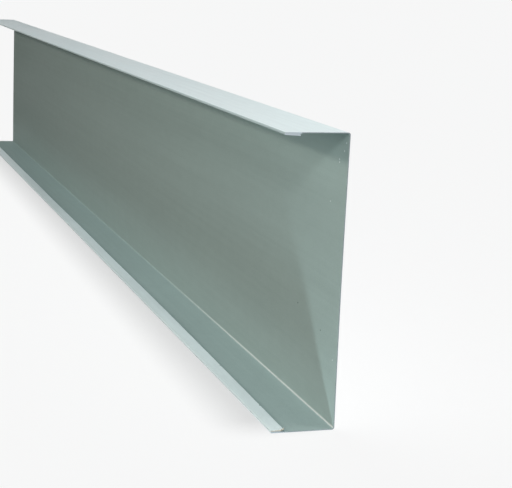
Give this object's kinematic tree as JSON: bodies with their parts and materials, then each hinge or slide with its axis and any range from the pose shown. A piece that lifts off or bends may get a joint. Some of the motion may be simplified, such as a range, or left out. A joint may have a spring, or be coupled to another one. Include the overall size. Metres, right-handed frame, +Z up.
{
  "type": "side flashing",
  "caption": "Long C-shaped flashing folded from coated steel sheet, with a tall flat web, short flanges and hemmed edges, for capping the open side of a roof or porch edge.",
  "frame": {"origin": "on the level that the lower flange stands on, under the middle of the channel's length and of its flange width", "axes": "+X along the channel towards the end nearest in the picture, +Y from the open side to the web, +Z up"},
  "size_m": [1.5, 0.045, 0.2],
  "materials": {
    "coated_steel": "semi-gloss pale aqua coat outside, grey-green backing coat inside, bare cut edges"
  },
  "bodies": {
    "root": {"side_flashing": "coated_steel"}
  },
  "joints": []
}
